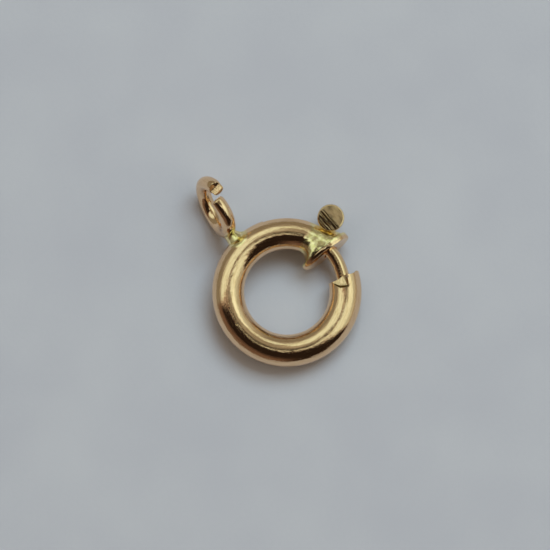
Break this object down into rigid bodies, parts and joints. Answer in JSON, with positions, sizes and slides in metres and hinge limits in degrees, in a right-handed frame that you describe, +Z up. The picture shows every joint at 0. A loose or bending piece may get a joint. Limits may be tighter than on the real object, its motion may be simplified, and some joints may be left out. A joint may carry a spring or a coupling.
{
  "type": "spring ring clasp",
  "caption": "Small gold spring ring clasp for a necklace or bracelet, with a sliding wire bolt, a knob that draws it back, an oval guard plate and a soldered end loop.",
  "frame": {"origin": "centre of the ring that the tube is bent round", "axes": "+Z up, with the clasp lying as it rests on a level surface; +Y towards the attachment loop; +X towards the gap in the ring. The ring's own axis leans back from +Z by 5.4 degrees, because the loop holds its side of the ring up"},
  "size_m": [0.0113, 0.0145, 0.0043],
  "materials": {
    "ring_gold": "polished",
    "bolt_gold": "polished",
    "knob_gold": "satin",
    "spring_steel": "satin"
  },
  "bodies": {
    "ring": {"ring_body": "ring_gold", "spring": "spring_steel"},
    "sliding_bolt": {"bolt": "bolt_gold", "trigger": "knob_gold"}
  },
  "joints": [
    {"name": "bolt_slide", "type": "hinge", "parent": "ring", "child": "sliding_bolt", "pos_m": [0, 0, 0], "axis": [0, -0.0948, 0.9955], "range_deg": [0, 44], "stiffness_Nm_per_rad": 0.00001, "springref_deg": -57.3, "deforming": ["spring"]}
  ]
}
